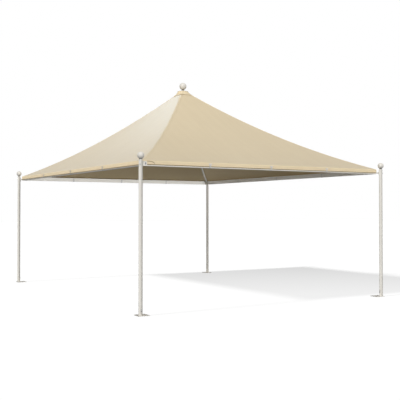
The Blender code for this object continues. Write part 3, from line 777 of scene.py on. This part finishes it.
def sheet_side(side, turn):
    """One side of the sheet as rows from the skirt's edge up to the crown, and its UV positions.

    A row is level.  Its columns go along the panel and then round the hip in a small arc, so the
    last one stands next to the first column of the next side.  Heights on the roof are the roof's
    height at u plus the bow, which is one less the square of the place across, times four u times
    one less u, squared.
    """
    half_along, half_out = half_sizes(side)
    steady, share = side_columns(half_along)
    insets, fold_heights = fold_rows(ROOF_RISE / half_out)
    next_heights = fold_rows(ROOF_RISE / half_along)[1]
    insets = np.concatenate([np.zeros(len(SKIRT_SHARES)), insets])
    reach = np.concatenate([half_along - insets, half_along * (1.0 - ROOF_U)])[:, None]
    out = np.concatenate([half_out - insets, half_out * (1.0 - ROOF_U)])[:, None]
    left_edge = steady - reach
    inner = (reach - EDGE_BAND) * share
    straight = np.concatenate([left_edge, inner, -left_edge[:, ::-1]], axis=1)
    width = straight.shape[1]
    along = np.concatenate([straight, reach - RIDGE_RADIUS + RIDGE_RADIUS * np.sin(ARC)], axis=1)
    outs = np.concatenate([np.repeat(out, width, axis=1),
                           out - RIDGE_RADIUS + RIDGE_RADIUS * np.cos(ARC)], axis=1)
    spread = np.concatenate([straight, reach - RIDGE_RADIUS + RIDGE_RADIUS * ARC], axis=1)

    blend = np.concatenate([np.zeros(width), ARC / (math.pi / 2)])
    fold = fold_heights[:, None] * (1.0 - blend) + next_heights[:, None] * blend
    if side in ("front", "back"):
        shortened = np.where(along[0] < 0, SKIRT_CUT_BACK, 0.0)
    else:
        shortened = RIDGE_RADIUS - 0.0001
    bottom = np.where(half_along - np.abs(along[0]) < shortened, fold[0] - SKIRT_STUB, SKIRT_BOTTOM)
    skirt = fold[0] - SKIRT_SHARES[:, None] * (fold[0] - bottom)
    u = ROOF_U[:, None]
    reach, roof_along = reach[-len(u):], along[-len(u):]
    bow = ROOF_BOW * (1.0 - np.clip(roof_along / reach, -1, 1) ** 2) * (4 * u * (1 - u)) ** 2
    near_hip = reach - np.abs(roof_along) < SEAM_HALF_WIDTH + 0.0001
    slope = (ROOF_RISE + 2 * ROOF_CURVE * u) / half_out
    lift = np.where(near_hip, SEAM_STEP, 0.0) * np.hypot(1.0, slope) * np.clip(u / 0.02, 0, 1)
    height = np.concatenate([skirt, fold, roof_height(u) + bow + lift], axis=0)
    points = np.stack([*to_plan(along, outs, turn), height], axis=-1)
    middle_heights = np.concatenate([skirt[:, width // 2], fold[:, 0], roof_height(ROOF_U)])
    climb = np.cumsum(np.hypot(np.diff(out[:, 0]), np.diff(middle_heights)))
    climb = np.concatenate([[0.0], climb])[:, None]
    return points, np.stack([spread, np.repeat(climb, spread.shape[1], axis=1)], axis=-1)


def cells(grid):
    """The four corners of each cell of a grid, in the order of its faces."""
    return np.stack([grid[:-1, :-1], grid[:-1, 1:], grid[1:, 1:], grid[1:, :-1]], axis=2)


def thicken(piece):
    """Give a piece of cloth its thickness, inwards."""
    thickness = piece.modifiers.new("thickness", "SOLIDIFY")
    thickness.thickness = CLOTH_THICKNESS
    thickness.offset = -1.0
    return thickness


cloth = roof_cloth("roof_cloth", CLOTH_COLOUR, CLOTH_SHADE, OUTSIDE_GLOSS)
shaded_cloth_inside = roof_cloth("roof_cloth_inside", INSIDE_SHADED_COLOUR, INSIDE_SHADED_TONE, INSIDE_GLOSS)
panels = [sheet_side(side, turn) for side, turn in SIDES.items()]
sheet_points = np.concatenate([points for points, _ in panels], axis=1)
sheet_part = (sheet_points.reshape(-1, 3), [wrapped_grid(*sheet_points.shape[:2])])
sheet_uv = [cells(np.concatenate([uv, uv[:, -1:] + (ARC_STEP, 0.0)], axis=1)) for _, uv in panels]
sheet = add_piece("roof_sheet", [(sheet_part, cloth)], smooth_angle=45.0,
                  corner_uv=np.concatenate(sheet_uv, axis=1))
# The underside takes the painted-shade copy of the cloth.
sheet.data.materials.append(shaded_cloth_inside)
thicken(sheet).material_offset = 1
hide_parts("canopy_panel_front", "canopy_panel_right", "canopy_panel_back",
            "canopy_panel_left")
lit["cloth"].objects.link(sheet)


# Hem: a rope is sewn into the skirt's lower edge, which gives it a round bead, and a tape of darker
# cloth hangs below it, dark so that it paints the shade line under the hem.  Where the skirt stops
# short of a corner, a cord in the same tape edges its rounded end: it leaves the bead, turns up and
# ends in the eave's fold, and its darkness paints the shadow along that end.
BEAD_RADIUS = 0.0055
BEAD_HEIGHT = 2.2310
BEAD_OUT = 0.0016
HEM_END_GAP = 0.008
TAPE_HEIGHT = 2.2235            # of its middle
TAPE_HALF = 0.0080
TAPE_OUT = -0.0020              # from the sheet's face to the tape's middle
TAPE_FLATNESS = 0.075
CORD_RADIUS = 0.0044
CORD_OUT = 0.0012
CORD_TOP_HEIGHT = 2.2710
CORD_TURN_START = 0.118         # from the sheet's corner, where the cord is highest
CORD_TURN_END = 0.205
# Painted shade: the binding is dark so that it draws the shade lines under the hem, along the skirt's
# cut ends and round the cap's top.
BINDING_SHADE_LINE_COLOUR = (0.31, 0.242, 0.135, 1.0)
BINDING_SHADE_LINE_TONE = (0.28, 0.218, 0.120, 1.0)


def swept(path, reference, radius, sides, flatness=1.0):
    """A cord along an open path, with both ends domed.

    Each ring is radius times the cosine along the direction square to the path and the reference,
    plus radius times flatness times the sine along the direction square to that and the path.
    """
    ahead = unit(np.gradient(path, axis=0))
    aside = unit(np.cross(ahead, reference))
    over = np.cross(aside, ahead)
    dome = radius * np.array([0.35, 0.8, 1.0])
    advance = radius * np.array([0.94, 0.6, 0.0])
    centre = np.concatenate([path[0] - ahead[0] * advance[:, None], path[1:-1],
                             path[-1] + ahead[-1] * advance[::-1, None]])
    radii = np.concatenate([dome, np.full(len(path) - 2, radius), dome[::-1]])
    pick = np.concatenate([[0, 0, 0], np.arange(1, len(path) - 1), [len(path) - 1] * 3])
    return rings(centre, radii, aside[pick], flatness * over[pick], sides), capped_grid(len(pick), sides)


def side_line(side, along, out, height):
    """Points along a side of the sheet, so far out from its face, at one height or many."""
    x, y = to_plan(along, np.full_like(along, half_sizes(side)[1] + out), SIDES[side])
    return np.column_stack([x, y, np.broadcast_to(height, x.shape)])


shade_line_binding = roof_cloth("binding_cloth", BINDING_SHADE_LINE_COLOUR, BINDING_SHADE_LINE_TONE, INSIDE_GLOSS)
hem_parts = []
hem_ends = {}
for side, turn in SIDES.items():
    cut_back = side in ("front", "back")
    half_along = half_sizes(side)[0]
    hem_start = (SKIRT_CUT_BACK if cut_back else RIDGE_RADIUS) + HEM_END_GAP - half_along
    hem_end = half_along - RIDGE_RADIUS - HEM_END_GAP
    outward = np.array([math.sin(turn), -math.cos(turn), 0.0])
    hem_ends[side] = (hem_start, hem_end, outward)
    along = np.linspace(hem_start, hem_end, 80)
    bead = swept(side_line(side, along, BEAD_OUT, BEAD_HEIGHT), outward, BEAD_RADIUS, 14)
    tape = swept(side_line(side, along, TAPE_OUT, TAPE_HEIGHT), outward, TAPE_HALF, 12, TAPE_FLATNESS)
    hem_parts += [(bead, cloth), (tape, shade_line_binding)]
    if cut_back:
        bend = np.radians(np.linspace(0, 88, 18))
        turning = CORD_TURN_START + (CORD_TURN_END - CORD_TURN_START) * np.sin(bend)
        low = BEAD_HEIGHT + BEAD_RADIUS * 0.6
        rising = low + (CORD_TOP_HEIGHT - low) * np.cos(bend)
        cord_along = np.concatenate([[hem_start], turning - half_along])
        cord_line = side_line(side, cord_along, CORD_OUT, np.concatenate([[CORD_TOP_HEIGHT], rising]))
        hem_parts.append((swept(cord_line, outward, CORD_RADIUS, 12), shade_line_binding))
hem = add_piece("roof_hem", hem_parts, smooth_angle=50.0)
lit["cloth"].objects.link(hem)


# Stitching: polyester thread, a little lighter than the cloth.  Two rows hold each side of the
# overlap on the hips, and two run above the bead all round.
STITCH_PITCH = 0.0072
STITCH_LENGTH = 0.0052
STITCH_WIDTH = 0.0011
SEAM_ROWS = (0.0205, 0.0179)    # from the hip
SEAM_SPAN = (0.012, 0.943)      # from the eave to under the cap, as u
SEAM_LIFT = 0.0010
HEM_ROWS = (0.0085, 0.0130)     # above the bead's middle
HEM_ROWS_SHORTER = 0.095        # than the hem, at a rounded end
HEM_ROWS_OUT = 0.0002           # from the sheet's face
THREAD_COLOUR = (0.80, 0.70, 0.52, 1.0)


def travelled(path):
    """How far along a path its points are."""
    return np.concatenate([[0.0], np.cumsum(np.linalg.norm(np.diff(path, axis=0), axis=1))])


def stitches(path, outward, pitch=STITCH_PITCH, length=STITCH_LENGTH, width=STITCH_WIDTH):
    """A row of stitches along a path, each a grain of six points and eight faces.

    The grains' middles are even steps along the path; each has two ends along it, two sides square
    to it, a top half a width out of the cloth and a bottom just inside it.
    """
    travel = travelled(path)
    at = np.arange(pitch / 2, travel[-1] - pitch / 4, pitch)
    spot = read_off(at, travel, path)
    out = unit(read_off(at, travel, np.broadcast_to(outward, path.shape)))
    ahead = unit(read_off(at + 0.001, travel, path) - read_off(at - 0.001, travel, path))
    aside = np.cross(out, ahead) * width / 2
    corners = [spot + ahead * length / 2, spot + aside, spot - ahead * length / 2, spot - aside,
               spot + out * width * 0.55, spot - out * width * 0.30]
    grain = np.array([[0, 1, 4], [1, 2, 4], [2, 3, 4], [3, 0, 4],
                      [1, 0, 5], [2, 1, 5], [3, 2, 5], [0, 3, 5]])
    faces = (np.arange(len(spot))[:, None, None] * 6 + grain).reshape(-1, 3)
    return np.stack(corners, axis=1).reshape(-1, 3), [faces]


# Twisted thread: a fine diagonal band in its bump, matt, with a slight sheen
twine, coords = start_material("thread")
tone = mixed(noise(coords["Object"], 30.0), THREAD_COLOUR, darker(THREAD_COLOUR, 0.86))
finish_material(twine, {"Roughness": 0.62, "Sheen Weight": 0.2, "Base Color": tone},
                bands(coords["Object"], 420.0, "DIAGONAL"), 0.5, 0.0001)

seam_parts = []
u_line = np.linspace(*SEAM_SPAN, 180)
for side, turn in SIDES.items():
    half_along, half_out = half_sizes(side)
    slope = (ROOF_RISE + 2 * ROOF_CURVE * u_line) / half_out
    up = 1.0 / np.hypot(1.0, slope)
    outward = np.column_stack([*to_plan(np.zeros_like(up), slope * up, turn), up])
    for sign in (-1, 1):
        for inset in SEAM_ROWS:
            plan = to_plan(sign * (half_along * (1.0 - u_line) - inset), half_out * (1.0 - u_line), turn)
            seam_line = np.column_stack([*plan, roof_height(u_line) + SEAM_LIFT / up])
            seam_parts.append((stitches(seam_line, outward), twine))
add_piece("hip_stitching", seam_parts, smooth_angle=180.0)

hem_seams = []
for side, (hem_start, hem_end, outward) in hem_ends.items():
    if side in ("front", "back"):
        hem_start += HEM_ROWS_SHORTER
    for rise in HEM_ROWS:
        seam_line = side_line(side, np.array([hem_start, hem_end]), HEM_ROWS_OUT, BEAD_HEIGHT + rise)
        hem_seams.append((stitches(seam_line, outward), twine))
add_piece("hem_stitching", hem_seams, smooth_angle=180.0)


# Crown cap: a hood of the same cloth that closes the hole at the top.  It is stretched over the
# hub's disc, widens to a rectangle and lies on the sheet, with a round cord sewn into both edges;
# the cord on the top's edge is in the dark binding, which paints the shade of its outline.
CAP_TOP = 3.918
CAP_FLAT_RADIUS = 0.092
CAP_EDGE_RADIUS = 0.105
CAP_EDGE_DROP = 0.009
CAP_TOP_RINGS = (0.075, 0.055, 0.035, 0.0145)   # radii on the flat, down to the stem's hole
CAP_NECK = np.array([0.108, 0.135])     # half sizes
CAP_HEM = np.array([0.1296, 0.1620])
CAP_LIFT = 0.0042
CAP_CORNERS = 14.0
CAP_AROUND = 128
CAP_UV_LENGTH = 0.85
CAP_HEM_CORD = 0.0022
CAP_EDGE_CORD = 0.0024
CAP_TRIM_LIFTS = np.array([[0.0, 0.0, 0.0006], [0.0, 0.0, 0.0020], [0.0, 0.0, 0.0003]])
CAP_STITCH = (0.0065, 0.0048)           # pitch, length
CAP_STITCH_ROW = 2


def squared(outline, power):
    """A round outline drawn out towards a square: each point over the root of the sum of its powers."""
    return outline / (np.abs(outline) ** power).sum(axis=1, keepdims=True) ** (1.0 / power)


def on_sheet(plan, lift):
    """Points that lie on the sheet: its height where they stand, plus a lift.

    A level outline of the sheet is its plan times t, with arcs of the ridge radius r at its corners.
    On an arc, t solves (|x| + r - X t) squared plus (|y| + r - Y t) squared equals r squared.
    """
    x, y = np.abs(plan.T) + RIDGE_RADIUS
    straight = np.maximum((x - RIDGE_RADIUS) / SHEET_X, (y - RIDGE_RADIUS) / SHEET_Y)
    diagonal = SHEET_X ** 2 + SHEET_Y ** 2
    along = x * SHEET_X + y * SHEET_Y
    root = along ** 2 - diagonal * (x * x + y * y - RIDGE_RADIUS ** 2)
    arc = (along - np.sqrt(np.maximum(root, 0.0))) / diagonal
    on_arc = (root > 0) & (x > SHEET_X * arc) & (y > SHEET_Y * arc)
    return np.column_stack([plan, roof_height(1.0 - np.where(on_arc, arc, straight)) + lift])


def cap_rows():
    """The cap's rings from its hem up to the hole round the stem, and the row of its top's edge.

    Below the neck the rings are rounded rectangles that lie on the sheet.  From there each is the
    neck times one less t plus the top's edge times t, up to a rounded edge and a flat top.
    """
    square = squared(round_outline(CAP_AROUND), CAP_CORNERS)
    rows = [on_sheet(square * (CAP_HEM * (1 - t) + CAP_NECK * t), CAP_LIFT)
            for t in np.linspace(0.0, 1.0, 6)[:-1]]
    neck = on_sheet(square * CAP_NECK, CAP_LIFT)
    edge = circle(CAP_EDGE_RADIUS, CAP_TOP - CAP_EDGE_DROP, (0, 0), CAP_AROUND)
    rows += [neck * (1 - t) + edge * t for t in np.linspace(0.0, 1.0, 16)]
    edge_row = len(rows) - 1
    for angle in np.linspace(0.0, math.pi / 2, 7)[1:]:
        radius = CAP_FLAT_RADIUS + (CAP_EDGE_RADIUS - CAP_FLAT_RADIUS) * math.cos(angle)
        height = CAP_TOP - CAP_EDGE_DROP * (1.0 - math.sin(angle))
        rows.append(circle(radius, height, (0, 0), CAP_AROUND))
    rows += [circle(radius, CAP_TOP, (0, 0), CAP_AROUND) for radius in CAP_TOP_RINGS]
    return np.stack(rows), edge_row


cap_points, cap_edge_row = cap_rows()
cap_part = (cap_points.reshape(-1, 3), [wrapped_grid(len(cap_points), CAP_AROUND)])
ring_steps = np.linalg.norm(np.diff(cap_points, axis=0), axis=2).mean(axis=1)
cap_v = np.concatenate([[0.0], np.cumsum(ring_steps)])
cap_u = np.arange(CAP_AROUND + 1) * CAP_UV_LENGTH / CAP_AROUND
cap = add_piece("cap", [(cap_part, cloth)], smooth_angle=40.0,
                corner_uv=cells(np.stack(np.meshgrid(cap_u, cap_v), axis=-1)))
thicken(cap)
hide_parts("crown_cap")
lit["cloth"].objects.link(cap)

trim_rows = [0, cap_edge_row, CAP_STITCH_ROW]
hem_loop, edge_loop, stitch_loop = cap_points[trim_rows] + CAP_TRIM_LIFTS[:, None]
stitch_loop = np.append(stitch_loop, stitch_loop[:1], axis=0)
add_piece("cap_trim", [
    (even_ring(hem_loop, (0, 0, 1), CAP_HEM_CORD), cloth),
    # The top edge's cord, in the dark binding, paints the shaded outline of the cap's edge.
    (even_ring(edge_loop, (0, 0, 1), CAP_EDGE_CORD), shade_line_binding),
    (stitches(stitch_loop, (0, 0, 1), *CAP_STITCH), twine)], smooth_angle=60.0)


# Peak ball: a hollow steel ball with a neck and a collar that clamps the cap on the hub, powder-
# coated.  Its stem goes through the hub, and a black rubber ring seals it under the ball, its
# darkness also painting the shade there.
PEAK_BALL = (0.070, 4.02)       # radius, height of its middle
PEAK_SEAL = (0.0230, 0.0050)
PEAK_COLLAR = [(0.0130, -0.0033), (0.0130, 0.0), (0.0310, 0.0), (0.0320, 0.0010), (0.0320, 0.0030),
               (0.0310, 0.0044), (0.0285, 0.0060), (0.0215, 0.0072), (0.0190, 0.0086),
               (0.0180, 0.0110)]
PEAK_NECK_END = [(0.0180, -0.0030), (0.0184, -0.0012)]

ball = ball_on_neck(PEAK_COLLAR, CAP_TOP + COLLAR_GAP, PEAK_NECK_END, *PEAK_BALL, 80)
peak = add_piece("peak_finial", [(ball, coat), (seal_and_shade_ring(*PEAK_BALL, *PEAK_SEAL, (0, 0)), rubber)])
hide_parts("peak_ball")
light_apart(peak, "balls")


# Tie straps: 32 mm polyester webbing, three a side.  Each is sewn under a cloth tab on the skirt,
# goes over the bead, under the beam and up its inner face, where a sliding buckle holds it.
STRAP_SIZE = (0.032, 0.0016)    # width, thickness
STRAP_PLACES = (0.25, 0.50, 0.75)
STRAP_BEND = 0.0035
STRAP_BACK = -BEAM_WIDTH - 0.0011
STRAP_CORNERS = [               # out from the beam's face, and height
    (0.0043, 2.2680), (0.0043, 2.2415), (0.0113, 2.2355), (0.0113, 2.2265), (0.0031, 2.2195),
    (0.0031, 2.2130), (0.0011, 2.2080), (0.0011, BEAM_BOTTOM - 0.0011),
    (STRAP_BACK, BEAM_BOTTOM - 0.0011), (STRAP_BACK, 2.2280), (STRAP_BACK - 0.0041, 2.2350),
    (STRAP_BACK - 0.0041, 2.2410), (STRAP_BACK, 2.2480), (STRAP_BACK, 2.2660)]
TAB_SIZE = (0.054, 0.0012)
TAB_LINE = np.array([(0.0058, 2.2745), (0.0062, 2.2700), (0.0066, 2.2600), (0.0072, 2.2530),
                     (0.0084, 2.2475)])
BUCKLE_HEIGHT = 2.238
BUCKLE_HALF = (0.0190, 0.0110)
BUCKLE_OUT = -BEAM_WIDTH - 0.0037
BAR_OUT = -BEAM_WIDTH - 0.0023
BUCKLE_WIRE = 0.0017
BAR_WIRE = 0.0015
BOX_HALF_WIDTH = 0.010          # of the stitched box on the tab
BOX_HEIGHTS = (2.2560, 2.2700)
BOX_OUT = 0.0008                # from the tab's middle
BOX_STITCH = (0.0036, 0.0028, 0.0008)       # pitch, length, width
WEBBING_COLOUR = (0.68, 0.665, 0.65, 1.0)
TAB_COLOUR = (0.80, 0.74, 0.69, 1.0)


def webbing_material(name, colour):
    """Woven strap on its UV map in metres: ribs across every 1.6 mm and a chevron along it."""
    material, coords = start_material(name)
    ribs = bands(coords["UV"], 196.0, "Y", Distortion=0.4)
    chevron = bands(coords["UV"], 98.0, "DIAGONAL", Distortion=0.3)
    weave = combined("MULTIPLY", ribs, chevron)
    return finish_material(material, {
        "Sheen Weight": 0.15, "Roughness": 0.68,
        "Base Color": mixed(weave, darker(colour, 0.80), colour)}, weave, 0.6, 0.0003)


def rounded_line(corners, radius, steps=6):
    """A line with its corners cut by parabolas: each goes from a point before the corner to one
    after it, weighted by the squares of what is left and what is done, twice their product on the
    corner itself."""
    corners = np.array(corners, float)
    middle = corners[1:-1]
    start, end = [middle + unit(reach) * np.minimum(
        radius, np.linalg.norm(reach, axis=1, keepdims=True) * 0.45)
        for reach in (corners[:-2] - middle, corners[2:] - middle)]
    done = np.linspace(0.0, 1.0, steps)[None, :, None]
    curve = ((1 - done) ** 2 * start[:, None] + 2 * done * (1 - done) * middle[:, None]
             + done ** 2 * end[:, None])
    return np.concatenate([corners[:1], curve.reshape(-1, 2), corners[-1:]])


def ribbon(line, width, thick):
    """A flat band along a line of (out, height) points, with rounded edges, and its UV positions.

    Eight points stand round each step: half the thickness to both sides of the line, across the
    band's width less its edges, and halfway at the edges themselves.
    """
    ahead = unit(np.gradient(line, axis=0))
    normal = np.stack([ahead[:, 1], -ahead[:, 0]], axis=1)
    edge = width / 2
    across = np.array([-edge + thick / 2, edge - thick / 2, edge - thick * 0.1, edge,
                       edge - thick / 2, -edge + thick / 2, -edge + thick * 0.1, -edge])
    across = np.repeat(across[None, :], len(line), axis=0)
    out = np.array([1.0, 1.0, 0.6, 0.0, -1.0, -1.0, -0.6, 0.0]) * thick / 2
    centre = line[:, None, :] + out[:, None] * normal[:, None, :]
    points = np.concatenate([across[..., None], centre], axis=-1).reshape(-1, 3)
    faces = capped_grid(len(line), 8)
    travel = np.repeat(travelled(line)[:, None], 8, axis=1)
    flat = np.stack([across, travel], axis=-1).reshape(-1, 2)
    return (points, faces), np.concatenate([flat[block.ravel()] for block in faces])


def strap_place(part, side, along):
    """A part moved from a strap's own (across, out, height) to its place on its side of the frame."""
    across, out, height = part[0].T
    half_out = half_sizes(side, FRAME_X, FRAME_Y)[1]
    return np.column_stack([*to_plan(along + across, half_out + out, SIDES[side]), height]), part[1]


webbing = webbing_material("strap_webbing", WEBBING_COLOUR)
tab_cloth = webbing_material("tab_webbing", TAB_COLOUR)
strap_band, strap_uv = ribbon(rounded_line(STRAP_CORNERS, STRAP_BEND), *STRAP_SIZE)
tab_band, tab_uv = ribbon(TAB_LINE, *TAB_SIZE)

buckle_outline = squared(round_outline(64), 7) * BUCKLE_HALF + (0.0, BUCKLE_HEIGHT)
buckle = even_ring(np.insert(buckle_outline, 1, BUCKLE_OUT, axis=1), (0, 1, 0), BUCKLE_WIRE)
bar_across = np.linspace(-BUCKLE_HALF[0], BUCKLE_HALF[0], 6)
bar_line = np.column_stack([bar_across, np.full(6, BAR_OUT), np.full(6, BUCKLE_HEIGHT)])
buckle_bar = swept(bar_line, (0, 0, 1), BAR_WIRE, 8)

box_across = BOX_HALF_WIDTH * np.array([-1, 1, 1, -1, -1, 1])
box_height = np.array(BOX_HEIGHTS)[[0, 0, 1, 1, 0, 1]]
box_out = np.interp(-box_height, -TAB_LINE[:, 1], TAB_LINE[:, 0]) + BOX_OUT
box_line = np.column_stack([box_across, box_out, box_height])

for side in SIDES:
    for number, share in enumerate(STRAP_PLACES, start=1):
        along = (2 * share - 1) * half_sizes(side)[0]
        strap = add_piece(f"strap_{side}_{number}", [
            (strap_place(strap_band, side, along), webbing),
            (strap_place(tab_band, side, along), tab_cloth)],
            smooth_angle=50.0, corner_uv=np.concatenate([strap_uv, tab_uv]))
        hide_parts(f"tie_strap_{side}_{number}")
        box = strap_place((box_line, []), side, along)[0]
        fittings = add_piece(f"strap_fittings_{side}_{number}", [
            (strap_place(buckle, side, along), coat),
            (strap_place(buckle_bar, side, along), coat),
            (stitches(box, hem_ends[side][2], *BOX_STITCH), twine)],
            smooth_angle=60.0)
        if side in ("right", "back"):
            lit["far_beams"].objects.link(strap)
            lit["far_beams"].objects.link(fittings)
